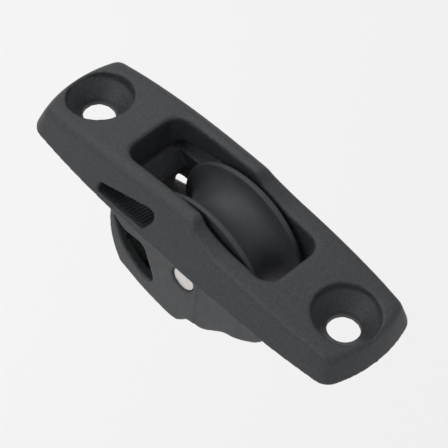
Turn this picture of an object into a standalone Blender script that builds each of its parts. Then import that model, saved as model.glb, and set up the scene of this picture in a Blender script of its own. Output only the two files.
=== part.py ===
"""Flush-mounted single sheave block: a moulded housing with a screw-down flange, a grooved sheave on a
ring of captive balls, a two-part inner race and a plain axle pin.

Frame: origin midway between the two screw holes on the flat underside of the flange, +X along the
flange towards its low end, +Y across it, +Z out of the surface that the block is let into.
All sizes below are in millimetres, and MM turns them into metres.
"""

import math

import bmesh
import bpy
from mathutils import Matrix, Vector

MM = 0.001

# Driving dimensions: sheave and axle
SHEAVE_RADIUS = 10.0
SHEAVE_HALF_WIDTH = 3.8
SHEAVE_BORE = 6.1
RIM_LIP = 0.75
RIM_ROUND = 0.35
GROOVE_DEPTH = 2.9
GROOVE_STEPS = 12
AXLE_X = 1.42
AXLE_Z = -3.86
PIN_RADIUS = 1.68
PIN_HALF_LENGTH = 6.68
PIN_CHAMFER = 0.15
PIN_CLEARANCE = 0.12

# Bearing
BALL_RADIUS = 1.0
BALL_COUNT = 15
BALL_PITCH_RADIUS = 5.05
RACE_TRACK_RADIUS = 3.97
RACE_SHOULDER_RADIUS = 5.75
RACE_CHANNEL = 1.3
RACE_SHOULDER_END = 3.4
RACE_BOSS_RADIUS = 3.1
RACE_BOSS_END = 4.15
RACE_SPLIT = 0.15

# Flange
FLANGE_HALF_WIDTH = 8.42
FLANGE_TAPER = 1.25
TAPER_START = 24.0
TAPER_POWER = 2.7
FLANGE_END = 26.3
END_ARC_RADIUS = 17.0
CORNER_RADIUS = 2.4
CORNER_X = 23.08
CORNER_Y = 4.9
CORNER_FROM_DEG = 26.0
CORNER_TO_DEG = 84.0
BOW_TO_DEG = 19.2
SIDE_DRAFT = 0.345
EDGE_ROUND_HIGH = 1.4
EDGE_ROUND_LOW = 0.55

# Top of the flange: crest, scoop and the two slopes that fall away from them
CREST_X = 1.35
CREST_Z = 6.95
RAMP_SLOPE = 0.0557
RAMP_CURVE = 0.00292
STEP_X = 2.15
STEP_Z = 5.75
SCOOP_POWER = 1.35
FOOT_X = 6.4
FOOT_Z = 4.62
FOOT_SLOPE = 0.046
FOOT_CURVE = 0.0011

# Screw holes
SCREW_X = 20.8
SCREW_RADIUS = 2.06
HEAD_RADIUS = 4.17
HEAD_SEAT_Z = 3.0

# Pocket and cheeks
POCKET_START = -12.1
POCKET_END = 12.4
POCKET_HALF_WIDTH = 4.4
POCKET_CORNER = 2.0
POCKET_FLOOR = -15.5
CHEEK_HALF_WIDTH = 6.76
CHEEK_STEP = 0.12
CHEEK_STEP_X = 3.7
GUARD_OUTER = 12.65
GUARD_INNER = 11.2
GUARD_INNER_RISE = 0.4
RELIEF_HALF_WIDTH = 5.5
RELIEF_TOP = -4.65
LEAF_FLOOR = 4.9
EYE_X = (-14.0, -9.0)
SIDE_SLOT_FALL = 1.3

GUARD_OUTER_DEG = (176.0, 214.0)
GUARD_INNER_DEG = (173.0, 250.0)
RELIEF_END_DEG = 222.0
OVERCUT = 1.0

# Mesh fineness
SHEAVE_SEGMENTS = 64
HOLE_SEGMENTS = 48
TURNED_SEGMENTS = 40
BALL_SEGMENTS = 12
BALL_RINGS = 8
PLAN_STEPS = 3
POCKET_CORNER_STEPS = 5
EDGE_STEPS = 3
WELD = 0.06
SMOOTH_BELOW_DEG = 35.0


def clear_scene():
    for item in list(bpy.data.objects):
        bpy.data.objects.remove(item, do_unlink=True)


def material(name, colour, roughness, metallic=0.0):
    made = bpy.data.materials.new(name)
    made.use_nodes = True
    shader = made.node_tree.nodes["Principled BSDF"]
    shader.inputs["Base Color"].default_value = (*colour, 1.0)
    shader.inputs["Roughness"].default_value = roughness
    shader.inputs["Metallic"].default_value = metallic
    made.diffuse_color = (*colour, 1.0)
    return made


def object_from(bm, name, finish=None):
    """Turns a bmesh in millimetres into a named object in metres."""
    bmesh.ops.scale(bm, vec=(MM, MM, MM), verts=bm.verts)
    bmesh.ops.recalc_face_normals(bm, faces=bm.faces)
    mesh = bpy.data.meshes.new(name)
    bm.to_mesh(mesh)
    bm.free()
    made = bpy.data.objects.new(name, mesh)
    bpy.context.collection.objects.link(made)
    if finish:
        mesh.materials.append(finish)
    return made


def combine(target, tool, operation):
    """Adds or cuts with another object, which is hidden and stays in the file as a guide."""
    step = target.modifiers.new(f"{operation.lower()}_{tool.name}", "BOOLEAN")
    step.operation = operation
    step.object = tool
    step.solver = "EXACT"
    tool.hide_render = True
    tool.display_type = "WIRE"


def arc(centre_x, centre_y, radius, start_deg, end_deg, count):
    points = []
    for i in range(count + 1):
        angle = math.radians(start_deg + (end_deg - start_deg) * i / count)
        points.append((centre_x + radius * math.cos(angle), centre_y + radius * math.sin(angle)))
    return points


def prism_y(outline_xz, y_low, y_high, name, drop_at_high=0.0):
    """Extrudes an outline in XZ along Y. The far end can sit lower than the near end."""
    bm = bmesh.new()
    near = [bm.verts.new((x, y_low, z)) for x, z in outline_xz]
    far = [bm.verts.new((x, y_high, z - drop_at_high)) for x, z in outline_xz]
    bm.faces.new(near)
    bm.faces.new(list(reversed(far)))
    for i in range(len(near)):
        j = (i + 1) % len(near)
        bm.faces.new((near[i], far[i], far[j], near[j]))
    return object_from(bm, name)


def prism_x(outline_yz, x_low, x_high, name):
    """Extrudes an outline in YZ along X."""
    bm = bmesh.new()
    low = [bm.verts.new((x_low, y, z)) for y, z in outline_yz]
    high = [bm.verts.new((x_high, y, z)) for y, z in outline_yz]
    bm.faces.new(low)
    bm.faces.new(list(reversed(high)))
    for i in range(len(low)):
        j = (i + 1) % len(low)
        bm.faces.new((low[i], high[i], high[j], low[j]))
    return object_from(bm, name)


def turned_y(profile, segments, name, finish=None):
    """Turns a closed profile of (radius, y) about the Y axis through the origin."""
    bm = bmesh.new()
    rings = []
    for i in range(segments):
        angle = 2.0 * math.pi * i / segments
        ring = [bm.verts.new((r * math.cos(angle), y, r * math.sin(angle))) for r, y in profile]
        rings.append(ring)
    count = len(profile)
    for i in range(segments):
        here = rings[i]
        after = rings[(i + 1) % segments]
        for k in range(count):
            m = (k + 1) % count
            bm.faces.new((here[k], here[m], after[m], after[k]))
    return object_from(bm, name, finish)


def turned_z(profile, segments, name):
    """Turns an open profile of (radius, z) about Z and caps its two ends."""
    bm = bmesh.new()
    rings = []
    for r, z in profile:
        ring = []
        for i in range(segments):
            angle = 2.0 * math.pi * i / segments
            ring.append(bm.verts.new((r * math.cos(angle), r * math.sin(angle), z)))
        rings.append(ring)
    for k in range(len(rings) - 1):
        for i in range(segments):
            j = (i + 1) % segments
            bm.faces.new((rings[k][i], rings[k][j], rings[k + 1][j], rings[k + 1][i]))
    bm.faces.new(rings[-1])
    bm.faces.new(list(reversed(rings[0])))
    return object_from(bm, name)


def base_half_width(x):
    return FLANGE_HALF_WIDTH - FLANGE_TAPER * (abs(x) / TAPER_START) ** TAPER_POWER


def top_height(x):
    """Height of the flange's top: a long convex ramp, a crest, a short step, a scoop and a low end."""
    if x <= CREST_X:
        away = CREST_X - x
        return CREST_Z - RAMP_SLOPE * away - RAMP_CURVE * away * away
    if x >= FOOT_X:
        away = x - FOOT_X
        return FOOT_Z - FOOT_SLOPE * away - FOOT_CURVE * away * away
    if x < STEP_X:
        return CREST_Z + (STEP_Z - CREST_Z) * (x - CREST_X) / (STEP_X - CREST_X)
    share = (x - STEP_X) / (FOOT_X - STEP_X)
    return FOOT_Z + (STEP_Z - FOOT_Z) * (1.0 - share) ** SCOOP_POWER


def edge_round(x):
    """Radius left on the top edge: soft on the high ramp, crisp on the low end."""
    if x < CREST_X:
        return EDGE_ROUND_HIGH
    return EDGE_ROUND_LOW


def flange_half_outline():
    """Plan outline of the flange's foot for +Y, from the -X end to the +X end."""
    bow = arc(FLANGE_END - END_ARC_RADIUS, 0.0, END_ARC_RADIUS, 0.0, BOW_TO_DEG, PLAN_STEPS)
    corner = arc(CORNER_X, CORNER_Y, CORNER_RADIUS, CORNER_FROM_DEG, CORNER_TO_DEG, PLAN_STEPS)
    right = bow + corner
    left = [(-x, y) for x, y in right]
    sides = [-20, -17, -14, -11, -8, -5, -2, 0.2, CREST_X, STEP_X, 3.0, 4.1, 5.2, FOOT_X, 9, 12, 15, 18, 21]
    middle = [(x, base_half_width(x)) for x in sides]
    return left + middle + list(reversed(right))


def corner_point(distance):
    """Where the inset side and the inset bow meet, once the corner's own radius is used up."""
    side_normal = Vector((math.cos(math.radians(CORNER_TO_DEG)), math.sin(math.radians(CORNER_TO_DEG))))
    along = Vector((side_normal.y, -side_normal.x))
    start = Vector((CORNER_X, CORNER_Y)) + side_normal * (CORNER_RADIUS - distance)
    from_bow = start - Vector((FLANGE_END - END_ARC_RADIUS, 0.0))
    reach = END_ARC_RADIUS - distance
    lead = from_bow.dot(along)
    return start + along * (math.sqrt(lead * lead + reach * reach - from_bow.length_squared) - lead)


def inset_point(point, distance):
    """Moves a foot point straight inwards, square to the outline, to where the draft takes it."""
    x, y = point
    if abs(x) < CORNER_X:
        step = 0.05
        slope = (base_half_width(x + step) - base_half_width(x - step)) / (2 * step)
        normal = Vector((-slope, 1.0)).normalized()
    else:
        sign = 1.0 if x > 0 else -1.0
        if y > CORNER_Y + 0.5:
            normal = Vector((x - sign * CORNER_X, y - CORNER_Y)).normalized()
        else:
            normal = Vector((x - sign * (FLANGE_END - END_ARC_RADIUS), y)).normalized()
    moved = Vector(point) - normal * distance
    if distance > CORNER_RADIUS:
        limit = corner_point(distance)
        if abs(x) >= CORNER_X and y > CORNER_Y + 0.5:
            return math.copysign(limit.x, x), limit.y
        if abs(moved.x) > limit.x and moved.y > limit.y - 0.3:
            return math.copysign(limit.x, x), limit.y
        if abs(x) >= CORNER_X and moved.y > limit.y:
            return math.copysign(limit.x, x), limit.y
    return moved.x, max(moved.y, 0.0)


def flange_column(point):
    """Points up the side of the flange above one foot point: drafted wall, then the rounded edge."""
    reached = inset_point(point, 0.0)
    for _ in range(4):
        height = top_height(reached[0])
        reached = inset_point(point, SIDE_DRAFT * height)
    height = top_height(reached[0])
    radius = edge_round(reached[0])
    lean = math.atan(SIDE_DRAFT)
    turn = math.pi / 2 - lean
    setback = radius * math.tan(turn / 2)
    start = height - setback * math.cos(lean)
    column = [(*inset_point(point, 0.0), 0.0), (*inset_point(point, SIDE_DRAFT * start), start)]
    centre_in = SIDE_DRAFT * start + radius * math.cos(lean)
    for k in range(1, EDGE_STEPS + 1):
        angle = lean + turn * k / EDGE_STEPS
        x, y = inset_point(point, centre_in - radius * math.cos(angle))
        column.append((x, y, top_height(x) - radius + radius * math.sin(angle)))
    return column


def flange_body(finish):
    """Lofts the flange from its foot outline and closes the top with strips across the width."""
    half = flange_half_outline()
    bm = bmesh.new()
    columns = []
    for point in half:
        levels = flange_column(point)
        far = [bm.verts.new(level) for level in levels]
        if point[1] < 1e-6:
            near = far
        else:
            near = [bm.verts.new((x, -y, z)) for x, y, z in levels]
        columns.append((far, near))
    for i in range(len(columns) - 1):
        for side in (0, 1):
            here = columns[i][side]
            after = columns[i + 1][side]
            for k in range(len(here) - 1):
                quad = [here[k], after[k], after[k + 1], here[k + 1]]
                bm.faces.new(quad if side == 0 else list(reversed(quad)))
        strip(bm, columns[i], columns[i + 1], -1)
        strip(bm, columns[i], columns[i + 1], 0)
    bmesh.ops.remove_doubles(bm, verts=bm.verts, dist=WELD)
    bmesh.ops.dissolve_degenerate(bm, edges=bm.edges, dist=0.001)
    return object_from(bm, "housing", finish)


def strip(bm, left, right, level):
    """One face across the flange between two stations, at the top (-1) or the underside (0)."""
    corners = []
    for vert in (left[0][level], right[0][level], right[1][level], left[1][level]):
        if vert not in corners:
            corners.append(vert)
    bm.faces.new(corners)


def cheek_outline():
    """Side outline of the part below the flange: end guard at -X, belly, notch and tail at +X."""
    guard = arc(AXLE_X, AXLE_Z, GUARD_OUTER, *GUARD_OUTER_DEG, 9)
    guard.reverse()
    belly = [(0.95, -12.5), (-0.4, -12.73), (-2.8, -12.5), (-5.4, -12.05), (-7.6, -11.35)]
    tail = [(16.0, 0.4), (14.06, -3.12), (12.1, -5.08), (10.2, -6.45), (8.76, -7.09), (7.65, -7.9)]
    notch = [(6.07, -9.41), (4.7, -10.35), (3.5, -10.5), (2.6, -10.75), (2.0, -11.45)]
    root = [(-11.9, -1.5), (-13.3, 0.4)]
    return tail + notch + belly + guard + root


def pocket_below():
    """Side outline of the sheave's space: straight at +X, following the end guard at -X."""
    guard = arc(AXLE_X, AXLE_Z + GUARD_INNER_RISE, GUARD_INNER, *GUARD_INNER_DEG, 14)
    top = [(POCKET_END, 1.0), (POCKET_START, 1.0), (POCKET_START, 0.2)]
    return top + guard + [(POCKET_END, POCKET_FLOOR)]


def relief_outline():
    """Side outline of the hollow inside each cheek, behind the leaf-shaped window."""
    centre_z = AXLE_Z + GUARD_INNER_RISE
    radius = GUARD_INNER - 0.1
    start = 180.0 + math.degrees(math.asin((centre_z - RELIEF_TOP) / radius))
    guard = arc(AXLE_X, centre_z, radius, start, RELIEF_END_DEG, 9)
    return guard + [(-4.3, -9.3), (-4.0, -7.0), (-5.6, RELIEF_TOP)]


def guard_eye_outline(side):
    """Outline in YZ of the slanting slot through the end guard, on one side of its middle."""
    roof = [(2.6, -2.3), (3.2, -2.9), (4.3, -4.45), (5.4, -6.35), (5.9, -7.1)]
    sill = [(5.9, -7.95), (5.2, -7.4), (4.5, -6.5), (3.9, -5.7), (2.6, -4.1)]
    return [(side * y, z) for y, z in roof + sill]


def leaf_outline():
    """Leaf-shaped window in each cheek, between the guard and the axle boss."""
    upper = [(-10.75, -2.9), (-9.9, -3.55), (-9.1, -4.02), (-8.2, -4.2), (-6.4, -4.0), (-5.6, -4.1)]
    right = [(-5.05, -4.7), (-4.6, -5.7), (-4.1, -6.75), (-3.6, -8.0), (-3.4, -9.1)]
    lower = [(-3.8, -9.7), (-4.6, -9.85), (-5.6, -9.6), (-7.0, -8.75), (-8.4, -7.75)]
    left = [(-9.2, -6.7), (-9.8, -5.5), (-10.3, -4.2)]
    return upper + right + lower + left


def side_slot_outline():
    """Slot through the flange's long side, beside the high end of the pocket."""
    floor = [(-12.5, 0.85), (-4.9, 1.15), (-4.35, 1.7), (-3.6, 3.2)]
    roof = [(-3.55, 4.1), (-4.0, 4.65), (-4.7, 4.7), (-5.8, 4.4), (-8.2, 3.7), (-10.55, 3.0), (-12.5, 2.4)]
    return floor + roof


def rounded_rectangle_prism(x_low, x_high, half_width, corner, z_low, z_high, name):
    """Upright prism with a rounded rectangular plan."""
    plan = []
    for sx, sy, start in ((1, 1, 0), (-1, 1, 90), (-1, -1, 180), (1, -1, 270)):
        centre_x = (x_high - corner) if sx > 0 else (x_low + corner)
        centre_y = sy * (half_width - corner)
        plan += arc(centre_x, centre_y, corner, start, start + 90, POCKET_CORNER_STEPS)
    bm = bmesh.new()
    low = [bm.verts.new((x, y, z_low)) for x, y in plan]
    high = [bm.verts.new((x, y, z_high)) for x, y in plan]
    bm.faces.new(high)
    bm.faces.new(list(reversed(low)))
    for i in range(len(plan)):
        j = (i + 1) % len(plan)
        bm.faces.new((low[i], low[j], high[j], high[i]))
    return object_from(bm, name)


def block(low, high, name):
    """Axis-aligned block between two corners."""
    bm = bmesh.new()
    size = [high[i] - low[i] for i in range(3)]
    middle = [(high[i] + low[i]) / 2 for i in range(3)]
    bmesh.ops.create_cube(bm, size=1.0)
    bmesh.ops.scale(bm, vec=size, verts=bm.verts)
    bmesh.ops.translate(bm, vec=middle, verts=bm.verts)
    return object_from(bm, name)


def make_housing(finish):
    housing = flange_body(finish)
    combine(housing, prism_y(cheek_outline(), -CHEEK_HALF_WIDTH, CHEEK_HALF_WIDTH, "tool_cheeks"), "UNION")
    opening = rounded_rectangle_prism(
        POCKET_START, POCKET_END, POCKET_HALF_WIDTH, POCKET_CORNER, 0.1, 9.0, "tool_opening"
    )
    combine(housing, opening, "DIFFERENCE")
    space = prism_y(pocket_below(), -POCKET_HALF_WIDTH, POCKET_HALF_WIDTH, "tool_space")
    combine(housing, space, "DIFFERENCE")
    for side in (-1, 1):
        low, high = sorted((side * (POCKET_HALF_WIDTH - 0.4), side * RELIEF_HALF_WIDTH))
        name = "near" if side < 0 else "far"
        relief = prism_y(relief_outline(), low, high, f"tool_relief_{name}")
        combine(housing, relief, "DIFFERENCE")
        eye = prism_x(guard_eye_outline(side), *EYE_X, f"tool_guard_eye_{name}")
        combine(housing, eye, "DIFFERENCE")
        low, high = sorted((side * LEAF_FLOOR, side * (CHEEK_HALF_WIDTH + OVERCUT)))
        leaf = prism_y(leaf_outline(), low, high, f"tool_leaf_{name}")
        combine(housing, leaf, "DIFFERENCE")
        outer = side * (FLANGE_HALF_WIDTH + OVERCUT)
        inner = side * (POCKET_HALF_WIDTH - 0.6)
        slot = prism_y(side_slot_outline(), outer, inner, f"tool_slot_{name}", SIDE_SLOT_FALL)
        combine(housing, slot, "DIFFERENCE")
        low, high = sorted((side * (CHEEK_HALF_WIDTH - CHEEK_STEP), side * (CHEEK_HALF_WIDTH + OVERCUT)))
        step = block((CHEEK_STEP_X, low, -14.0), (17.5, high, 0.0), f"tool_cheek_step_{name}")
        combine(housing, step, "DIFFERENCE")
    bore = cylinder_y(PIN_RADIUS + PIN_CLEARANCE, CHEEK_HALF_WIDTH + OVERCUT, HOLE_SEGMENTS, "tool_axle_bore")
    bore.location = (AXLE_X * MM, 0.0, AXLE_Z * MM)
    combine(housing, bore, "DIFFERENCE")
    cone_depth = HEAD_RADIUS - SCREW_RADIUS
    for sign in (-1, 1):
        profile = [
            (SCREW_RADIUS, -OVERCUT),
            (SCREW_RADIUS, HEAD_SEAT_Z - cone_depth),
            (HEAD_RADIUS, HEAD_SEAT_Z),
            (HEAD_RADIUS, CREST_Z + OVERCUT),
        ]
        hole = turned_z(profile, HOLE_SEGMENTS, "tool_screw_high" if sign < 0 else "tool_screw_low")
        hole.location = (sign * SCREW_X * MM, 0.0, 0.0)
        combine(housing, hole, "DIFFERENCE")
    return housing


def cylinder_y(radius, half_length, segments, name):
    bm = bmesh.new()
    rings = []
    for y in (-half_length, half_length):
        ring = []
        for i in range(segments):
            angle = 2.0 * math.pi * i / segments
            ring.append(bm.verts.new((radius * math.cos(angle), y, radius * math.sin(angle))))
        rings.append(ring)
    for i in range(segments):
        j = (i + 1) % segments
        bm.faces.new((rings[0][i], rings[0][j], rings[1][j], rings[1][i]))
    bm.faces.new(rings[0])
    bm.faces.new(list(reversed(rings[1])))
    return object_from(bm, name)


def sheave_profile():
    """Closed section of the sheave as (radius, y): bore, flat sides, rounded lips, round groove."""
    half_mouth = SHEAVE_HALF_WIDTH - RIM_LIP
    groove = (half_mouth ** 2 + GROOVE_DEPTH ** 2) / (2 * GROOVE_DEPTH)
    centre = SHEAVE_RADIUS - GROOVE_DEPTH + groove
    reach = math.degrees(math.asin(half_mouth / groove))
    section = [(SHEAVE_BORE, -SHEAVE_HALF_WIDTH), (SHEAVE_RADIUS - RIM_ROUND, -SHEAVE_HALF_WIDTH)]
    section.append((SHEAVE_RADIUS, -SHEAVE_HALF_WIDTH + RIM_ROUND))
    for i in range(GROOVE_STEPS + 1):
        angle = math.radians(-reach + 2 * reach * i / GROOVE_STEPS)
        section.append((centre - groove * math.cos(angle), groove * math.sin(angle)))
    section.append((SHEAVE_RADIUS, SHEAVE_HALF_WIDTH - RIM_ROUND))
    section.append((SHEAVE_RADIUS - RIM_ROUND, SHEAVE_HALF_WIDTH))
    section.append((SHEAVE_BORE, SHEAVE_HALF_WIDTH))
    return section


def make_sheave(finish):
    return turned_y(sheave_profile(), SHEAVE_SEGMENTS, "sheave", finish)


def make_axle_pin(finish):
    """Solid pin with a small chamfer at each end, turned about its own axis."""
    bm = bmesh.new()
    stations = [
        (PIN_RADIUS - PIN_CHAMFER, -PIN_HALF_LENGTH),
        (PIN_RADIUS, -PIN_HALF_LENGTH + PIN_CHAMFER),
        (PIN_RADIUS, PIN_HALF_LENGTH - PIN_CHAMFER),
        (PIN_RADIUS - PIN_CHAMFER, PIN_HALF_LENGTH),
    ]
    rings = []
    for r, y in stations:
        ring = []
        for i in range(TURNED_SEGMENTS):
            angle = 2.0 * math.pi * i / TURNED_SEGMENTS
            ring.append(bm.verts.new((r * math.cos(angle), y, r * math.sin(angle))))
        rings.append(ring)
    for k in range(len(rings) - 1):
        for i in range(TURNED_SEGMENTS):
            j = (i + 1) % TURNED_SEGMENTS
            bm.faces.new((rings[k][i], rings[k][j], rings[k + 1][j], rings[k + 1][i]))
    bm.faces.new(rings[0])
    bm.faces.new(list(reversed(rings[-1])))
    return object_from(bm, "axle_pin", finish)


def make_race_half(side, name, finish):
    """One top-hat half of the inner race: ball track, retaining shoulder and a boss to the cheek."""
    bore = PIN_RADIUS + PIN_CLEARANCE
    section = [
        (bore, RACE_SPLIT),
        (RACE_TRACK_RADIUS, RACE_SPLIT),
        (RACE_TRACK_RADIUS, RACE_CHANNEL),
        (RACE_SHOULDER_RADIUS, RACE_CHANNEL + 0.2),
        (RACE_SHOULDER_RADIUS, RACE_SHOULDER_END),
        (RACE_BOSS_RADIUS, RACE_SHOULDER_END + 0.1),
        (RACE_BOSS_RADIUS, RACE_BOSS_END),
        (bore, RACE_BOSS_END),
    ]
    return turned_y([(r, side * y) for r, y in section], TURNED_SEGMENTS, name, finish)


def ball_mesh():
    bm = bmesh.new()
    bmesh.ops.create_uvsphere(bm, u_segments=BALL_SEGMENTS, v_segments=BALL_RINGS, radius=BALL_RADIUS)
    return bm


def main():
    clear_scene()
    body_plastic = material("charcoal_moulding", (0.050, 0.056, 0.060), 0.55)
    sheave_plastic = material("sheave_acetal", (0.040, 0.045, 0.052), 0.42)
    race_plastic = material("race_acetal", (0.030, 0.032, 0.034), 0.40)
    ball_plastic = material("ball_acetal", (0.78, 0.77, 0.72), 0.35)
    steel = material("stainless_steel", (0.66, 0.64, 0.61), 0.32, 1.0)

    make_housing(body_plastic)

    axle = bpy.data.objects.new("axle_axis", None)
    axle.location = (AXLE_X * MM, 0.0, AXLE_Z * MM)
    bpy.context.collection.objects.link(axle)

    turned = [
        make_axle_pin(steel),
        make_race_half(-1, "inner_race_near", race_plastic),
        make_race_half(1, "inner_race_far", race_plastic),
        make_sheave(sheave_plastic),
    ]
    for i in range(BALL_COUNT):
        angle = 2.0 * math.pi * i / BALL_COUNT
        ball = object_from(ball_mesh(), f"bearing_ball_{i + 1:02d}", ball_plastic)
        radius = BALL_PITCH_RADIUS * MM
        ball.location = (radius * math.cos(angle), 0.0, radius * math.sin(angle))
        turned.append(ball)
    for piece in turned:
        piece.parent = axle
        piece.matrix_parent_inverse = Matrix.Identity(4)
        piece.data.shade_smooth()
        piece.data.set_sharp_from_angle(angle=math.radians(SMOOTH_BELOW_DEG))


main()
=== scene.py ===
"""Looks of the flush-mounted single sheave block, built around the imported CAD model.

The housing, sheave, races, balls and pin are remade here as fine meshes with soft moulded edges, in the
same frame and at the same sizes as the CAD nodes that they replace. Sizes are in millimetres until MM
turns them into metres.
"""

import math

import bmesh
import bpy
from mathutils import Matrix, Vector


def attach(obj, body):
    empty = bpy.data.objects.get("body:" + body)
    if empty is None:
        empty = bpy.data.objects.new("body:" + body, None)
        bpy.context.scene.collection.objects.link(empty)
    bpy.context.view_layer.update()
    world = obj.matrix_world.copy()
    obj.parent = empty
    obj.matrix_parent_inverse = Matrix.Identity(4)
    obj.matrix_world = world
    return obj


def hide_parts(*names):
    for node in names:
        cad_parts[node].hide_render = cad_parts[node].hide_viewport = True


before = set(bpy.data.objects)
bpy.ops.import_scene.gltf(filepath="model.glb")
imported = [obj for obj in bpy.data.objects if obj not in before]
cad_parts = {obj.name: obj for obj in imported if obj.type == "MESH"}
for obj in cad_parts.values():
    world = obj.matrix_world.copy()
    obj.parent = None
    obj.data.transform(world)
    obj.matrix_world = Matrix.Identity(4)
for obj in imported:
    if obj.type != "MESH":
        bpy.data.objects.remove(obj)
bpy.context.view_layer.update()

MM = 0.001

# Sheave, pin and bearing
SHEAVE_RADIUS = 10.0
SHEAVE_HALF_WIDTH = 3.8
SHEAVE_BORE = 6.1
RIM_LIP = 0.75
RIM_ROUND = 0.22
GROOVE_DEPTH = 2.9
AXLE_X = 1.42
AXLE_Z = -3.86
PIN_RADIUS = 1.68
PIN_HALF_LENGTH = 6.68
PIN_CLEARANCE = 0.12
BALL_RADIUS = 1.0
BALL_COUNT = 15
BALL_PITCH_RADIUS = 5.05
RACE_TRACK_RADIUS = 3.97
RACE_SHOULDER_RADIUS = 5.75
RACE_CHANNEL = 1.3
RACE_SHOULDER_END = 3.4
RACE_BOSS_RADIUS = 3.1
RACE_BOSS_END = 4.15
RACE_SPLIT = 0.15

# Flange
FLANGE_HALF_WIDTH = 8.42
FLANGE_TAPER = 1.25
TAPER_START = 24.0
TAPER_POWER = 2.7
FLANGE_END = 26.3
END_ARC_RADIUS = 17.0
CORNER_RADIUS = 2.4
CORNER_X = 23.08
CORNER_Y = 4.9
CORNER_FROM_DEG = 26.0
CORNER_TO_DEG = 84.0
BOW_TO_DEG = 19.2
SIDE_DRAFT = 0.345
EDGE_ROUND_HIGH = 1.4
EDGE_ROUND_LOW = 0.7

# Top of the flange
CREST_X = 1.35
CREST_Z = 6.95
RAMP_SLOPE = 0.0557
RAMP_CURVE = 0.00292
STEP_X = 2.15
STEP_Z = 5.75
SCOOP_POWER = 1.35
FOOT_X = 6.4
FOOT_Z = 4.62
FOOT_SLOPE = 0.046
FOOT_CURVE = 0.0011
FOLD_SOFTNESS = 0.3

# Screw holes
SCREW_X = 20.8
SCREW_RADIUS = 2.06
HEAD_RADIUS = 4.17
HEAD_SEAT_Z = 3.0

# Pocket and cheeks
POCKET_START = -12.1
POCKET_END = 12.4
POCKET_HALF_WIDTH = 4.4
POCKET_CORNER = 2.0
POCKET_FLOOR = -15.5
CHEEK_HALF_WIDTH = 6.76
CHEEK_STEP = 0.12
CHEEK_STEP_X = 3.7
GUARD_OUTER = 12.65
GUARD_INNER = 11.2
GUARD_INNER_RISE = 0.4
RELIEF_HALF_WIDTH = 5.5
RELIEF_TOP = -4.65
LEAF_FLOOR = 4.9
EYE_X = (-14.0, -9.0)
SIDE_SLOT_FALL = 1.3
SLOT_BREAKTHROUGH = 0.6

GUARD_OUTER_DEG = (176.0, 214.0)
GUARD_INNER_DEG = (173.0, 250.0)
RELIEF_END_DEG = 222.0
OVERCUT = 1.0

# Ribs on the floors of the side slots
RIB_PITCH = 0.46
RIB_HALF_FOOT = 0.11
RIB_TOP_SHARE = 0.6
RIB_ROOT = 0.1
RIB_X = (-11.9, -5.2)
RIB_OUTER_Y = 7.3
RIB_NEAR_HEIGHT = 0.2
RIB_FAR_HEIGHT = 0.1

# Mesh fineness and softening. REGAIN gives back what smoothing takes off the outside.
VOXEL = 0.16
SMOOTH_FACTOR = 0.5
SMOOTH_PASSES = 7
LIP_PASSES = 60
LIP_REACH = 1.4
SOFT_CORNER = (22.9, 5.3)
CORNER_REACH = 2.6
CORNER_DEPTH_SHARE = 0.7
FOOT_ROUND = 0.12
REGAIN = 0.07
WELD = 0.035
PLAN_STEPS = 8
SIDE_STEP = 0.5
EDGE_STEPS = 7
FOLD_SAMPLES = 7
POCKET_CORNER_STEPS = 16
HOLE_SEGMENTS = 96
RACE_SEGMENTS = 120
SHEAVE_SEGMENTS = 200
GROOVE_STEPS = 28


# ---------------------------------------------------------------- mesh helpers


def object_from(bm, name):
    """Turns a bmesh in millimetres into a named object in metres."""
    bmesh.ops.scale(bm, vec=(MM, MM, MM), verts=bm.verts)
    bmesh.ops.recalc_face_normals(bm, faces=bm.faces)
    mesh = bpy.data.meshes.new(name)
    bm.to_mesh(mesh)
    bm.free()
    made = bpy.data.objects.new(name, mesh)
    bpy.context.scene.collection.objects.link(made)
    return made


def arc(centre_x, centre_y, radius, start_deg, end_deg, count):
    points = []
    for i in range(count + 1):
        angle = math.radians(start_deg + (end_deg - start_deg) * i / count)
        points.append((centre_x + radius * math.cos(angle), centre_y + radius * math.sin(angle)))
    return points


def smooth_path(points, per_span, closed=False):
    """Catmull-Rom curve through the points, sampled evenly in each span."""
    count = len(points)
    spans = count if closed else count - 1
    path = []
    for i in range(spans):
        if closed:
            picked = [points[(i + k - 1) % count] for k in range(4)]
        else:
            picked = [points[min(max(i + k - 1, 0), count - 1)] for k in range(4)]
        a, b, c, d = (Vector(p) for p in picked)
        for j in range(per_span):
            t = j / per_span
            curl = (2 * a - 5 * b + 4 * c - d) + t * (3 * (b - c) + d - a)
            path.append(tuple(b + 0.5 * t * ((c - a) + t * curl)))
    if not closed:
        path.append(tuple(points[-1]))
    return path


def prism(outline, low, high, axis, name, drop=0.0):
    """Extrudes an outline along Y (outline in XZ) or X (outline in YZ). The high end can sit lower."""
    bm = bmesh.new()
    ends = []
    for place, fall in ((low, 0.0), (high, drop)):
        if axis == "y":
            ring = [bm.verts.new((u, place, v - fall)) for u, v in outline]
        else:
            ring = [bm.verts.new((place, u, v - fall)) for u, v in outline]
        ends.append(ring)
    bm.faces.new(ends[0])
    bm.faces.new(list(reversed(ends[1])))
    for i in range(len(outline)):
        j = (i + 1) % len(outline)
        bm.faces.new((ends[0][i], ends[1][i], ends[1][j], ends[0][j]))
    return object_from(bm, name)


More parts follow.
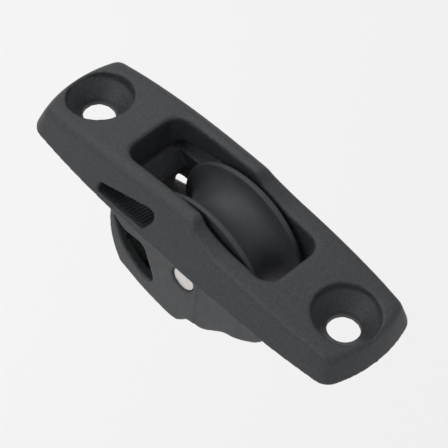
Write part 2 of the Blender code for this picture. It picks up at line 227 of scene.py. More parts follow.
def turned(profile, segments, name, axis="y", closed=True):
    """Turns a section of (radius, place along the axis). An open section gets a cap at each end."""
    bm = bmesh.new()
    rings = []
    for i in range(segments):
        angle = 2.0 * math.pi * i / segments
        across, up = math.cos(angle), math.sin(angle)
        if axis == "y":
            ring = [bm.verts.new((r * across, place, r * up)) for r, place in profile]
        else:
            ring = [bm.verts.new((r * across, r * up, place)) for r, place in profile]
        rings.append(ring)
    count = len(profile)
    for i in range(segments):
        here, after = rings[i], rings[(i + 1) % segments]
        for k in range(count if closed else count - 1):
            m = (k + 1) % count
            bm.faces.new((here[k], here[m], after[m], after[k]))
    if not closed:
        bm.faces.new([ring[0] for ring in rings])
        bm.faces.new([ring[-1] for ring in reversed(rings)])
    return object_from(bm, name)


def rounded_corner(before, corner, after, radius, steps=4):
    """Points of an arc-like blend that rounds one corner of a section."""
    a, b, c = Vector(before), Vector(corner), Vector(after)
    start = b + (a - b).normalized() * radius
    end = b + (c - b).normalized() * radius
    points = []
    for i in range(steps + 1):
        t = i / steps
        points.append(tuple((1 - t) ** 2 * start + 2 * t * (1 - t) * b + t ** 2 * end))
    return points


def rounded_section(corners, radius):
    """A closed section with every corner rounded."""
    count = len(corners)
    section = []
    for i in range(count):
        section += rounded_corner(corners[i - 1], corners[i], corners[(i + 1) % count], radius)
    return section


def combine(target, tool, operation):
    """Adds or cuts with another mesh and removes that mesh."""
    step = target.modifiers.new(operation.lower(), "BOOLEAN")
    step.operation = operation
    step.object = tool
    step.solver = "EXACT"
    bake_modifiers(target)
    bpy.data.objects.remove(tool, do_unlink=True)


def bake_modifiers(target):
    """Replaces the object's mesh by what its modifiers make of it."""
    bpy.context.view_layer.update()
    graph = bpy.context.evaluated_depsgraph_get()
    mesh = bpy.data.meshes.new_from_object(target.evaluated_get(graph))
    target.modifiers.clear()
    old = target.data
    target.data = mesh
    bpy.data.meshes.remove(old)


# ---------------------------------------------------------------- housing


def base_half_width(x):
    return FLANGE_HALF_WIDTH - FLANGE_TAPER * (abs(x) / TAPER_START) ** TAPER_POWER


def sharp_top(x):
    """Height of the flange's top: a long convex ramp, a crest, a short step, a scoop and a low end."""
    if x <= CREST_X:
        away = CREST_X - x
        return CREST_Z - RAMP_SLOPE * away - RAMP_CURVE * away * away
    if x >= FOOT_X:
        away = x - FOOT_X
        return FOOT_Z - FOOT_SLOPE * away - FOOT_CURVE * away * away
    if x < STEP_X:
        return CREST_Z + (STEP_Z - CREST_Z) * (x - CREST_X) / (STEP_X - CREST_X)
    share = (x - STEP_X) / (FOOT_X - STEP_X)
    return FOOT_Z + (STEP_Z - FOOT_Z) * (1.0 - share) ** SCOOP_POWER


def top_height(x):
    """The same height with its folds softened."""
    total = 0.0
    for i in range(FOLD_SAMPLES):
        total += sharp_top(x + FOLD_SOFTNESS * (2 * i / (FOLD_SAMPLES - 1) - 1))
    return total / FOLD_SAMPLES


def edge_round(x):
    """Radius left on the top edge: soft on the high ramp, crisper on the low end."""
    share = min(max((x - CREST_X) / (STEP_X - CREST_X), 0.0), 1.0)
    return EDGE_ROUND_HIGH + (EDGE_ROUND_LOW - EDGE_ROUND_HIGH) * share


def flange_half_outline():
    """Plan outline of the flange's foot for +Y, from the -X end to the +X end."""
    bow = arc(FLANGE_END - END_ARC_RADIUS, 0.0, END_ARC_RADIUS, 0.0, BOW_TO_DEG, PLAN_STEPS)
    corner = arc(CORNER_X, CORNER_Y, CORNER_RADIUS, CORNER_FROM_DEG, CORNER_TO_DEG, PLAN_STEPS)
    right = bow + corner
    left = [(-x, y) for x, y in right]
    middle = []
    x = -22.5
    while x < 22.6:
        middle.append((x, base_half_width(x)))
        x += SIDE_STEP if not -0.5 < x < 8.0 else SIDE_STEP / 3
    return left + middle + list(reversed(right))


def corner_point(distance):
    """Where the inset side and the inset bow meet, once the corner's own radius is used up."""
    side_normal = Vector((math.cos(math.radians(CORNER_TO_DEG)), math.sin(math.radians(CORNER_TO_DEG))))
    along = Vector((side_normal.y, -side_normal.x))
    start = Vector((CORNER_X, CORNER_Y)) + side_normal * (CORNER_RADIUS - distance)
    from_bow = start - Vector((FLANGE_END - END_ARC_RADIUS, 0.0))
    reach = END_ARC_RADIUS - distance
    lead = from_bow.dot(along)
    return start + along * (math.sqrt(lead * lead + reach * reach - from_bow.length_squared) - lead)


def inset_point(point, distance):
    """Moves a foot point straight inwards, square to the outline, to where the draft takes it."""
    x, y = point
    if abs(x) < CORNER_X:
        step = 0.05
        slope = (base_half_width(x + step) - base_half_width(x - step)) / (2 * step)
        normal = Vector((-slope, 1.0)).normalized()
    else:
        sign = 1.0 if x > 0 else -1.0
        if y > CORNER_Y + 0.5:
            normal = Vector((x - sign * CORNER_X, y - CORNER_Y)).normalized()
        else:
            normal = Vector((x - sign * (FLANGE_END - END_ARC_RADIUS), y)).normalized()
    moved = Vector(point) - normal * distance
    if distance > CORNER_RADIUS:
        limit = corner_point(distance)
        if abs(x) >= CORNER_X and y > CORNER_Y + 0.5:
            return math.copysign(limit.x, x), limit.y
        if abs(moved.x) > limit.x and moved.y > limit.y - 0.3:
            return math.copysign(limit.x, x), limit.y
        if abs(x) >= CORNER_X and moved.y > limit.y:
            return math.copysign(limit.x, x), limit.y
    return moved.x, max(moved.y, 0.0)


def flange_column(point):
    """Points up the side of the flange above one foot point: drafted wall, then the rounded edge."""
    reached = inset_point(point, 0.0)
    for _ in range(4):
        height = top_height(reached[0])
        reached = inset_point(point, SIDE_DRAFT * height)
    height = top_height(reached[0])
    radius = edge_round(reached[0])
    lean = math.atan(SIDE_DRAFT)
    turn = math.pi / 2 - lean
    setback = radius * math.tan(turn / 2)
    start = height - setback * math.cos(lean)
    column = [
        (*inset_point(point, FOOT_ROUND), 0.0),
        (*inset_point(point, FOOT_ROUND * 0.3), FOOT_ROUND * 0.3),
        (*inset_point(point, SIDE_DRAFT * FOOT_ROUND), FOOT_ROUND),
        (*inset_point(point, SIDE_DRAFT * start), start),
    ]
    centre_in = SIDE_DRAFT * start + radius * math.cos(lean)
    for k in range(1, EDGE_STEPS + 1):
        angle = lean + turn * k / EDGE_STEPS
        x, y = inset_point(point, centre_in - radius * math.cos(angle))
        column.append((x, y, top_height(x) - radius + radius * math.sin(angle)))
    return column


def flange_body():
    """Lofts the flange from its foot outline and closes the top with strips across the width."""
    bm = bmesh.new()
    columns = []
    for point in flange_half_outline():
        levels = flange_column(point)
        far = [bm.verts.new(level) for level in levels]
        near = far if point[1] < 1e-6 else [bm.verts.new((x, -y, z)) for x, y, z in levels]
        columns.append((far, near))
    for here, after in zip(columns, columns[1:]):
        for side in (0, 1):
            for k in range(len(here[side]) - 1):
                bm.faces.new((here[side][k], after[side][k], after[side][k + 1], here[side][k + 1]))
        for level in (-1, 0):
            corners = []
            for vert in (here[0][level], after[0][level], after[1][level], here[1][level]):
                if vert not in corners:
                    corners.append(vert)
            bm.faces.new(corners)
    bmesh.ops.remove_doubles(bm, verts=bm.verts, dist=WELD)
    bmesh.ops.dissolve_degenerate(bm, edges=bm.edges, dist=0.001)
    return object_from(bm, "housing_shell")


def cheek_outline():
    """Side outline of the part below the flange: end guard at -X, belly, notch and tail at +X."""
    guard = arc(AXLE_X, AXLE_Z, GUARD_OUTER, *GUARD_OUTER_DEG, 24)
    guard.reverse()
    belly = [(0.95, -12.5), (-0.4, -12.73), (-2.8, -12.5), (-5.4, -12.05), (-7.6, -11.35), guard[0]]
    tail = [(16.0, 0.4), (14.06, -3.12), (12.1, -5.08), (10.2, -6.45), (8.76, -7.09), (7.65, -7.9)]
    notch = [(6.07, -9.41), (4.7, -10.35), (3.5, -10.5), (2.6, -10.75), (2.0, -11.45)]
    root = [(-11.9, -1.5), (-13.3, 0.4)]
    return smooth_path(tail, 5) + smooth_path(notch, 4) + smooth_path(belly, 5)[:-1] + guard + root


def pocket_below():
    """Side outline of the sheave's space: straight at +X, following the end guard at -X."""
    guard = arc(AXLE_X, AXLE_Z + GUARD_INNER_RISE, GUARD_INNER, *GUARD_INNER_DEG, 40)
    top = [(POCKET_END, 1.0), (POCKET_START, 1.0), (POCKET_START, 0.2)]
    return top + guard + [(POCKET_END, POCKET_FLOOR)]


def relief_outline():
    """Side outline of the hollow inside each cheek, behind the leaf-shaped window."""
    centre_z = AXLE_Z + GUARD_INNER_RISE
    radius = GUARD_INNER - 0.1
    start = 180.0 + math.degrees(math.asin((centre_z - RELIEF_TOP) / radius))
    guard = arc(AXLE_X, centre_z, radius, start, RELIEF_END_DEG, 20)
    return guard + [(-4.3, -9.3), (-4.0, -7.0), (-5.6, RELIEF_TOP)]


def guard_eye_outline(side):
    """Outline in YZ of the slanting slot through the end guard, on one side of its middle."""
    roof = [(2.6, -2.3), (3.2, -2.9), (4.3, -4.45), (5.4, -6.35), (5.9, -7.1)]
    sill = [(5.9, -7.95), (5.2, -7.4), (4.5, -6.5), (3.9, -5.7), (2.6, -4.1)]
    return [(side * y, z) for y, z in roof + sill]


def leaf_outline():
    """Leaf-shaped window in each cheek, between the guard and the axle boss."""
    upper = [(-10.75, -2.9), (-9.9, -3.55), (-9.1, -4.02), (-8.2, -4.2), (-6.4, -4.0), (-5.6, -4.1)]
    right = [(-5.05, -4.7), (-4.6, -5.7), (-4.1, -6.75), (-3.6, -8.0), (-3.4, -9.1)]
    lower = [(-3.8, -9.7), (-4.6, -9.85), (-5.6, -9.6), (-7.0, -8.75), (-8.4, -7.75)]
    left = [(-9.2, -6.7), (-9.8, -5.5), (-10.3, -4.2)]
    return smooth_path(upper + right + lower + left, 4, closed=True)


def side_slot_outline():
    """Slot through the flange's long side, beside the high end of the pocket."""
    floor = [(-12.5, 0.85), (-4.9, 1.15), (-4.35, 1.7), (-3.6, 3.2)]
    nose = [(-3.55, 4.1), (-4.0, 4.65), (-4.7, 4.7)]
    roof = [(-5.8, 4.4), (-8.2, 3.7), (-10.55, 3.0), (-12.5, 2.4)]
    return floor + nose + roof


def upright_prism(x_low, x_high, half_width, corner, z_low, z_high, name):
    """Upright prism with a rounded rectangular plan."""
    plan = []
    for sx, sy, start in ((1, 1, 0), (-1, 1, 90), (-1, -1, 180), (1, -1, 270)):
        centre_x = (x_high - corner) if sx > 0 else (x_low + corner)
        plan += arc(centre_x, sy * (half_width - corner), corner, start, start + 90, POCKET_CORNER_STEPS)
    bm = bmesh.new()
    low = [bm.verts.new((x, y, z_low)) for x, y in plan]
    high = [bm.verts.new((x, y, z_high)) for x, y in plan]
    bm.faces.new(high)
    bm.faces.new(list(reversed(low)))
    for i in range(len(plan)):
        j = (i + 1) % len(plan)
        bm.faces.new((low[i], low[j], high[j], high[i]))
    return object_from(bm, name)


def block(low, high, name):
    """Axis-aligned block between two corners."""
    bm = bmesh.new()
    bmesh.ops.create_cube(bm, size=1.0)
    bmesh.ops.scale(bm, vec=[high[i] - low[i] for i in range(3)], verts=bm.verts)
    bmesh.ops.translate(bm, vec=[(high[i] + low[i]) / 2 for i in range(3)], verts=bm.verts)
    return object_from(bm, name)


def screw_hole(sign):
    """Cutter for one countersunk hole."""
    profile = [
        (SCREW_RADIUS, -OVERCUT),
        (SCREW_RADIUS, HEAD_SEAT_Z - (HEAD_RADIUS - SCREW_RADIUS)),
        (HEAD_RADIUS, HEAD_SEAT_Z),
        (HEAD_RADIUS, 8.0),
    ]
    hole = turned(profile, HOLE_SEGMENTS, "cutter", axis="z", closed=False)
    hole.location = (sign * SCREW_X * MM, 0.0, 0.0)
    return hole


def make_housing():
    housing = flange_body()
    combine(housing, prism(cheek_outline(), -CHEEK_HALF_WIDTH, CHEEK_HALF_WIDTH, "y", "tool"), "UNION")
    opening = upright_prism(
        POCKET_START, POCKET_END, POCKET_HALF_WIDTH, POCKET_CORNER, 0.1, 9.0, "tool"
    )
    combine(housing, opening, "DIFFERENCE")
    space = prism(pocket_below(), -POCKET_HALF_WIDTH, POCKET_HALF_WIDTH, "y", "tool")
    combine(housing, space, "DIFFERENCE")
    for side in (-1, 1):
        low, high = sorted((side * (POCKET_HALF_WIDTH - 0.4), side * RELIEF_HALF_WIDTH))
        combine(housing, prism(relief_outline(), low, high, "y", "tool"), "DIFFERENCE")
        combine(housing, prism(guard_eye_outline(side), *EYE_X, "x", "tool"), "DIFFERENCE")
        low, high = sorted((side * LEAF_FLOOR, side * (CHEEK_HALF_WIDTH + OVERCUT)))
        combine(housing, prism(leaf_outline(), low, high, "y", "tool"), "DIFFERENCE")
        outer = side * (FLANGE_HALF_WIDTH + OVERCUT)
        inner = side * (POCKET_HALF_WIDTH - SLOT_BREAKTHROUGH)
        slot = prism(side_slot_outline(), outer, inner, "y", "tool", SIDE_SLOT_FALL)
        combine(housing, slot, "DIFFERENCE")
        low, high = sorted((side * (CHEEK_HALF_WIDTH - CHEEK_STEP), side * (CHEEK_HALF_WIDTH + OVERCUT)))
        combine(housing, block((CHEEK_STEP_X, low, -14.0), (17.5, high, 0.0), "tool"), "DIFFERENCE")
    reach = CHEEK_HALF_WIDTH + OVERCUT
    bore_radius = PIN_RADIUS + PIN_CLEARANCE
    bore = turned([(bore_radius, -reach), (bore_radius, reach)], HOLE_SEGMENTS, "tool", closed=False)
    bore.location = (AXLE_X * MM, 0.0, AXLE_Z * MM)
    combine(housing, bore, "DIFFERENCE")
    for sign in (-1, 1):
        combine(housing, screw_hole(sign), "DIFFERENCE")
    soften(housing)
    return housing


def lip_weight(x, y, z):
    """1 on the pocket's upper lip and the flange's top corners, falling to 0 a short way off."""
    out_x = max(POCKET_START + POCKET_CORNER - x, x - (POCKET_END - POCKET_CORNER), 0.0)
    out_y = max(abs(y) - (POCKET_HALF_WIDTH - POCKET_CORNER), 0.0)
    from_wall = abs(math.hypot(out_x, out_y) - POCKET_CORNER)
    from_top = abs(top_height(x) - z)
    at_lip = 1.0 - math.hypot(from_wall, from_top) / LIP_REACH
    from_corner = math.hypot(abs(x) - SOFT_CORNER[0], abs(y) - SOFT_CORNER[1])
    at_corner = 1.0 - math.hypot(from_corner, from_top * CORNER_DEPTH_SHARE) / CORNER_REACH
    return max(0.0, at_lip, at_corner)


def soften(housing):
    """Remeshes the housing finely and smooths it, so that every cut edge gets a moulded radius."""
    remesh = housing.modifiers.new("fine", "REMESH")
    remesh.mode = "VOXEL"
    remesh.voxel_size = VOXEL * MM
    remesh.adaptivity = 0.0
    bake_modifiers(housing)
    lip = housing.vertex_groups.new(name="lip")
    for vert in housing.data.vertices:
        weight = lip_weight(*(vert.co / MM))
        if weight > 0.0:
            lip.add([vert.index], weight, "REPLACE")
    everywhere = housing.modifiers.new("soft", "SMOOTH")
    everywhere.factor = SMOOTH_FACTOR
    everywhere.iterations = SMOOTH_PASSES
    at_lip = housing.modifiers.new("lip", "SMOOTH")
    at_lip.factor = SMOOTH_FACTOR
    at_lip.iterations = LIP_PASSES
    at_lip.vertex_group = lip.name
    regain = housing.modifiers.new("regain", "DISPLACE")
    regain.strength = REGAIN * MM
    regain.mid_level = 0.0
    bake_modifiers(housing)
    housing.vertex_groups.clear()
    housing.name = "housing_moulding"
    housing.data.shade_smooth()


def slot_ribs(side, tall, name):
    """Fine ribs across the floor of one side slot, as the mould left them."""
    foot = RIB_HALF_FOOT
    top = foot * RIB_TOP_SHARE
    section = [(-foot, -RIB_ROOT), (-top, tall), (top, tall), (foot, -RIB_ROOT)]
    slot_depth = FLANGE_HALF_WIDTH + OVERCUT - (POCKET_HALF_WIDTH - SLOT_BREAKTHROUGH)
    bm = bmesh.new()
    x = RIB_X[0]
    while x < RIB_X[1]:
        rings = []
        for y in (POCKET_HALF_WIDTH + 0.15, RIB_OUTER_Y):
            fall = SIDE_SLOT_FALL * (FLANGE_HALF_WIDTH + OVERCUT - y) / slot_depth
            floor = 0.85 + 0.3 * (x + 12.5) / 7.6 - fall
            rings.append([bm.verts.new((x + dx, side * y, floor + dz)) for dx, dz in section])
        for i in range(4):
            j = (i + 1) % 4
            bm.faces.new((rings[0][i], rings[0][j], rings[1][j], rings[1][i]))
        bm.faces.new(rings[0])
        bm.faces.new(list(reversed(rings[1])))
        x += RIB_PITCH
    return object_from(bm, name)


# ---------------------------------------------------------------- turned pieces


def sheave_section():
    """Closed section of the sheave as (radius, y): bore, flat sides, rounded lips, round groove."""
    half_mouth = SHEAVE_HALF_WIDTH - RIM_LIP
    groove = (half_mouth ** 2 + GROOVE_DEPTH ** 2) / (2 * GROOVE_DEPTH)
    centre = SHEAVE_RADIUS - GROOVE_DEPTH + groove
    reach = math.degrees(math.asin(half_mouth / groove)) - 4.0
    side = SHEAVE_HALF_WIDTH
    section = rounded_corner((SHEAVE_BORE, 0.0), (SHEAVE_BORE, -side), (SHEAVE_RADIUS, -side), 0.2)
    section += rounded_corner(
        (SHEAVE_BORE, -side), (SHEAVE_RADIUS, -side), (SHEAVE_RADIUS, 0.0), RIM_ROUND * 1.6
    )
    lip = SHEAVE_RADIUS - 0.12
    section.append((SHEAVE_RADIUS, -side + RIM_LIP * 0.75))
    section.append((lip, -half_mouth - 0.02))
    for i in range(GROOVE_STEPS + 1):
        angle = math.radians(-reach + 2 * reach * i / GROOVE_STEPS)
        section.append((centre - groove * math.cos(angle), groove * math.sin(angle)))
    section.append((lip, half_mouth + 0.02))
    section.append((SHEAVE_RADIUS, side - RIM_LIP * 0.75))
    section += rounded_corner(
        (SHEAVE_RADIUS, 0.0), (SHEAVE_RADIUS, side), (SHEAVE_BORE, side), RIM_ROUND * 1.6
    )
    section += rounded_corner((SHEAVE_RADIUS, side), (SHEAVE_BORE, side), (SHEAVE_BORE, 0.0), 0.2)
    return section


def on_axle(piece):
    """Bakes a piece's place on the axle into its mesh."""
    piece.data.transform(Matrix.Translation((AXLE_X * MM, 0.0, AXLE_Z * MM)))
    piece.data.shade_smooth()
    return piece


def make_sheave():
    return on_axle(turned(sheave_section(), SHEAVE_SEGMENTS, "sheave_wheel"))


def make_pin():
    """Pin with a rounded chamfer and a shallow centre dimple at each end."""
    end = PIN_HALF_LENGTH
    half = [
        (0.12, end - 0.03),
        (0.5, end),
        (PIN_RADIUS - 0.2, end),
        (PIN_RADIUS - 0.13, end - 0.02),
        (PIN_RADIUS - 0.04, end - 0.09),
        (PIN_RADIUS, end - 0.2),
    ]
    other = [(r, -y) for r, y in half]
    profile = other + list(reversed(half))
    return on_axle(turned(profile, HOLE_SEGMENTS, "pin_turned", closed=False))


def make_race(side, name):
    """One top-hat half of the inner race."""
    bore = PIN_RADIUS + PIN_CLEARANCE
    corners = [
        (bore, RACE_SPLIT),
        (RACE_TRACK_RADIUS, RACE_SPLIT),
        (RACE_TRACK_RADIUS, RACE_CHANNEL),
        (RACE_SHOULDER_RADIUS, RACE_CHANNEL + 0.2),
        (RACE_SHOULDER_RADIUS, RACE_SHOULDER_END),
        (RACE_BOSS_RADIUS, RACE_SHOULDER_END + 0.1),
        (RACE_BOSS_RADIUS, RACE_BOSS_END),
        (bore, RACE_BOSS_END),
    ]
    section = rounded_section(corners, 0.12)
    return on_axle(turned([(r, side * y) for r, y in section], RACE_SEGMENTS, name))


def make_ball(index):
    bm = bmesh.new()
    bmesh.ops.create_uvsphere(bm, u_segments=28, v_segments=18, radius=BALL_RADIUS)
    angle = 2.0 * math.pi * index / BALL_COUNT
    place = (BALL_PITCH_RADIUS * math.cos(angle), 0.0, BALL_PITCH_RADIUS * math.sin(angle))
    bmesh.ops.translate(bm, vec=place, verts=bm.verts)
    return on_axle(object_from(bm, f"ball_{index + 1:02d}"))


# ---------------------------------------------------------------- materials


def new_material(name, roughness, metallic=0.0):
    """A Principled material, its node tree and its shader."""
    made = bpy.data.materials.new(name)
    made.use_nodes = True
    tree = made.node_tree
    shader = tree.nodes["Principled BSDF"]
    shader.inputs["Roughness"].default_value = roughness
    shader.inputs["Metallic"].default_value = metallic
    return made, tree, shader


def noise(tree, place, scale, detail=4.0, roughness=0.55):
    node = tree.nodes.new("ShaderNodeTexNoise")
    node.inputs["Scale"].default_value = scale
    node.inputs["Detail"].default_value = detail
    node.inputs["Roughness"].default_value = roughness
    tree.links.new(place, node.inputs["Vector"])
    return node.outputs["Fac"]


def ramp(tree, value, stops):
    node = tree.nodes.new("ShaderNodeValToRGB")
    while len(node.color_ramp.elements) < len(stops):
        node.color_ramp.elements.new(0.5)
    for element, (position, colour) in zip(node.color_ramp.elements, stops):
        element.position = position
        element.color = (*colour, 1.0)
    tree.links.new(value, node.inputs["Fac"])
    return node.outputs["Color"]


def remap(tree, value, from_low, from_high, to_low, to_high):
    node = tree.nodes.new("ShaderNodeMapRange")
    sockets = ("From Min", "From Max", "To Min", "To Max")
    for socket, number in zip(sockets, (from_low, from_high, to_low, to_high)):
        node.inputs[socket].default_value = number
    tree.links.new(value, node.inputs["Value"])
    return node.outputs["Result"]


def mix_colour(tree, share, first, second, blend="MIX"):
    node = tree.nodes.new("ShaderNodeMix")
    node.data_type = "RGBA"
    node.blend_type = blend
    if isinstance(share, float):
        node.inputs["Factor"].default_value = share
    else:
        tree.links.new(share, node.inputs["Factor"])
    for socket, colour in (("A", first), ("B", second)):
        target = [s for s in node.inputs if s.name == socket and s.type == "RGBA"][0]
        if isinstance(colour, tuple):
            target.default_value = (*colour, 1.0)
        else:
            tree.links.new(colour, target)
    return [s for s in node.outputs if s.type == "RGBA"][0]


def bump(tree, height, strength, distance, base=None):
    node = tree.nodes.new("ShaderNodeBump")
    node.inputs["Strength"].default_value = strength
    node.inputs["Distance"].default_value = distance
    tree.links.new(height, node.inputs["Height"])
    if base is not None:
        tree.links.new(base, node.inputs["Normal"])
    return node.outputs["Normal"]


def object_place(tree):
    return tree.nodes.new("ShaderNodeTexCoord").outputs["Object"]


def housing_material():
    """Charcoal moulding: satin grain, soft mottling and fine specks."""
    made, tree, shader = new_material("housing_plastic", 0.5)
    place = object_place(tree)
    mottle = noise(tree, place, 300.0, 5.0, 0.6)
    grain = noise(tree, place, 4200.0, 3.0, 0.6)
    speck = noise(tree, place, 3000.0, 4.0, 0.7)
    colour = ramp(tree, mottle, [(0.3, (0.0200, 0.0222, 0.0252)), (0.7, (0.0245, 0.0270, 0.0300))])
    fine = ramp(tree, speck, [(0.38, (0.66, 0.66, 0.66)), (0.66, (1.32, 1.32, 1.32))])
    colour = mix_colour(tree, 1.0, colour, fine, "MULTIPLY")
    tree.links.new(colour, shader.inputs["Base Color"])
    rough = remap(tree, mottle, 0.3, 0.7, 0.46, 0.58)
    tree.links.new(rough, shader.inputs["Roughness"])
    normal = bump(tree, grain, 0.6, 0.00005)
    normal = bump(tree, speck, 0.7, 0.0001, normal)
    tree.links.new(normal, shader.inputs["Normal"])
    return made


def sheave_material():
    """Dark acetal: soft mottling, a fine matt speckle and a low grain."""
    made, tree, shader = new_material("sheave_acetal", 0.4)
    place = object_place(tree)
    mottle = noise(tree, place, 420.0, 5.0, 0.6)
    grain = noise(tree, place, 2600.0, 4.0, 0.65)
    colour = ramp(tree, mottle, [(0.3, (0.024, 0.027, 0.032)), (0.7, (0.034, 0.037, 0.043))])
    fine = ramp(tree, grain, [(0.35, (0.84, 0.84, 0.84)), (0.7, (1.14, 1.14, 1.14))])
    colour = mix_colour(tree, 1.0, colour, fine, "MULTIPLY")
    tree.links.new(colour, shader.inputs["Base Color"])
    rough = remap(tree, mottle, 0.3, 0.7, 0.56, 0.68)
    tree.links.new(rough, shader.inputs["Roughness"])
    normal = bump(tree, grain, 0.35, 0.00005)
    tree.links.new(normal, shader.inputs["Normal"])
    return made


def race_material():
    made, tree, shader = new_material("race_acetal", 0.42)
    place = object_place(tree)
    mottle = noise(tree, place, 500.0)
    colour = ramp(tree, mottle, [(0.3, (0.024, 0.026, 0.028)), (0.7, (0.036, 0.038, 0.040))])
    tree.links.new(colour, shader.inputs["Base Color"])
    tree.links.new(remap(tree, mottle, 0.3, 0.7, 0.36, 0.5), shader.inputs["Roughness"])
    tree.links.new(bump(tree, noise(tree, place, 3000.0), 0.25, 0.00003), shader.inputs["Normal"])
    return made


def ball_material():
    made, tree, shader = new_material("ball_acetal", 0.3)
    place = object_place(tree)
    mottle = noise(tree, place, 700.0)
    colour = ramp(tree, mottle, [(0.3, (0.70, 0.69, 0.64)), (0.7, (0.80, 0.79, 0.74))])
    tree.links.new(colour, shader.inputs["Base Color"])
    tree.links.new(remap(tree, mottle, 0.3, 0.7, 0.24, 0.36), shader.inputs["Roughness"])
    tree.links.new(bump(tree, noise(tree, place, 4000.0), 0.15, 0.00002), shader.inputs["Normal"])
    return made


def steel_material():
    """Turned stainless steel: faint rings round the axle on the pin's faces."""
    made, tree, shader = new_material("stainless_steel", 0.36, 1.0)
    place = object_place(tree)
    shift = tree.nodes.new("ShaderNodeVectorMath")
    shift.operation = "SUBTRACT"
    shift.inputs[1].default_value = (AXLE_X * MM, 0.0, AXLE_Z * MM)
    tree.links.new(place, shift.inputs[0])
    flat = tree.nodes.new("ShaderNodeVectorMath")
    flat.operation = "MULTIPLY"
    flat.inputs[1].default_value = (1.0, 0.0, 1.0)
    tree.links.new(shift.outputs[0], flat.inputs[0])
    length = tree.nodes.new("ShaderNodeVectorMath")
    length.operation = "LENGTH"
    tree.links.new(flat.outputs[0], length.inputs[0])
    rings = tree.nodes.new("ShaderNodeTexNoise")
    rings.noise_dimensions = "1D"
    rings.inputs["Scale"].default_value = 9000.0
    rings.inputs["Detail"].default_value = 3.0
    tree.links.new(length.outputs["Value"], rings.inputs["W"])
    mottle = noise(tree, place, 900.0)
    colour = ramp(tree, mottle, [(0.3, (0.60, 0.58, 0.56)), (0.7, (0.72, 0.70, 0.68))])
    tree.links.new(colour, shader.inputs["Base Color"])
    tree.links.new(remap(tree, mottle, 0.3, 0.7, 0.30, 0.42), shader.inputs["Roughness"])
    tree.links.new(bump(tree, rings.outputs["Fac"], 0.3, 0.00002), shader.inputs["Normal"])
    return made


def floor_material():
    """Plain pale floor, lit so evenly that it reads as one tone."""
    made, tree, shader = new_material("pale_floor", 0.9)
    place = object_place(tree)
    stops = [(0.0, (0.835, 0.835, 0.835)), (1.0, (0.845, 0.845, 0.845))]
    shade = ramp(tree, noise(tree, place, 3.0), stops)
    tree.links.new(shade, shader.inputs["Base Color"])
    shader.inputs["Emission Color"].default_value = (1.0, 1.0, 1.0, 1.0)
    shader.inputs["Emission Strength"].default_value = 0.05
    return made


# ---------------------------------------------------------------- camera, floor and light

FLOOR_Z = -90.0
FLOOR_HALF = 1500.0
WORLD_STRENGTH = 0.66
CAMERA_AZIMUTH = 41.25
CAMERA_ELEVATION = 52.91
CAMERA_ROLL = 6.33
CAMERA_DISTANCE = 326.25
CAMERA_LENS = 222.8
CAMERA_SHIFT = (0.01313, -0.00361)


def add_camera():
    azimuth, elevation, roll = (
        math.radians(a) for a in (CAMERA_AZIMUTH, CAMERA_ELEVATION, CAMERA_ROLL)
    )
    back = Vector(
        (
            math.sin(azimuth) * math.cos(elevation),
            -math.cos(azimuth) * math.cos(elevation),
            math.sin(elevation),
        )
    )
    level_right = Vector((math.cos(azimuth), math.sin(azimuth), 0.0))
    level_up = back.cross(level_right)
    right = level_right * math.cos(roll) + level_up * math.sin(roll)
    up = back.cross(right)
    turn = Matrix((right, up, back)).transposed()
    data = bpy.data.cameras.new("camera")
    data.sensor_width = 36.0
    data.lens = CAMERA_LENS
    data.shift_x, data.shift_y = CAMERA_SHIFT
    data.clip_start = 0.01
    data.clip_end = 20.0
    data.dof.use_dof = False
    camera = bpy.data.objects.new("camera", data)
    bpy.context.scene.collection.objects.link(camera)
    camera.matrix_world = Matrix.Translation(back * CAMERA_DISTANCE * MM) @ turn.to_4x4()
    bpy.context.scene.camera = camera


def area_light(name, place, size, power):
    data = bpy.data.lights.new(name, "AREA")
    data.shape = "DISK"
    data.size = size
    data.energy = power
    light = bpy.data.objects.new(name, data)
    bpy.context.scene.collection.objects.link(light)
    light.location = place
    light.rotation_euler = (-Vector(place)).to_track_quat("-Z", "Y").to_euler()
    return light


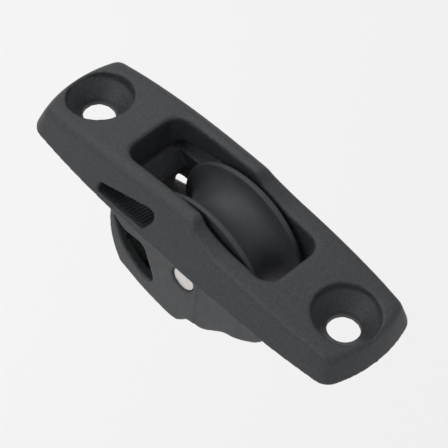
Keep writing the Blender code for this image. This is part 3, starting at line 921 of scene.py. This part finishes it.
def add_floor():
    bm = bmesh.new()
    bmesh.ops.create_grid(bm, x_segments=1, y_segments=1, size=FLOOR_HALF)
    bmesh.ops.translate(bm, vec=(0.0, 0.0, FLOOR_Z), verts=bm.verts)
    floor = object_from(bm, "floor")
    floor.data.materials.append(floor_material())


def add_world():
    world = bpy.data.worlds.new("studio")
    bpy.context.scene.world = world
    world.use_nodes = True
    background = world.node_tree.nodes["Background"]
    background.inputs["Color"].default_value = (1.0, 1.0, 1.0, 1.0)
    background.inputs["Strength"].default_value = WORLD_STRENGTH


# ---------------------------------------------------------------- put together


def place(piece, body, slot_name, finish, *nodes):
    """Gives a piece its finish, its body and the CAD nodes that it stands for."""
    piece.data.materials.clear()
    piece.data.materials.append(finish)
    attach(piece, body)
    if nodes:
        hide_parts(*nodes)


def main():
    bpy.context.scene.view_settings.view_transform = "Standard"
    plastic = housing_material()
    acetal = sheave_material()
    race = race_material()
    ball = ball_material()
    steel = steel_material()
    finishes = {
        "housing": plastic,
        "sheave": acetal,
        "inner_race_near": race,
        "inner_race_far": race,
        "axle_pin": steel,
    }
    for name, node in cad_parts.items():
        node.data.materials.clear()
        node.data.materials.append(finishes.get(name, ball))

    place(make_housing(), "housing", "housing_plastic", plastic, "housing")
    place(slot_ribs(-1, RIB_NEAR_HEIGHT, "slot_ribs_near"), "housing", "housing_plastic", plastic)
    place(slot_ribs(1, RIB_FAR_HEIGHT, "slot_ribs_far"), "housing", "housing_plastic", plastic)
    place(make_pin(), "housing", "stainless_steel", steel, "axle_pin")
    place(make_race(-1, "race_near"), "housing", "race_acetal", race, "inner_race_near")
    place(make_race(1, "race_far"), "housing", "race_acetal", race, "inner_race_far")
    place(make_sheave(), "sheave", "sheave_acetal", acetal, "sheave")
    for i in range(BALL_COUNT):
        place(make_ball(i), "ball_ring", "ball_acetal", ball, f"bearing_ball_{i + 1:02d}")

    add_camera()
    add_floor()
    add_world()
    area_light("key", (-0.34, 0.02, 0.50), 0.60, 1.35)
    area_light("side", (-0.14, -0.42, 0.38), 0.16, 0.75)


main()
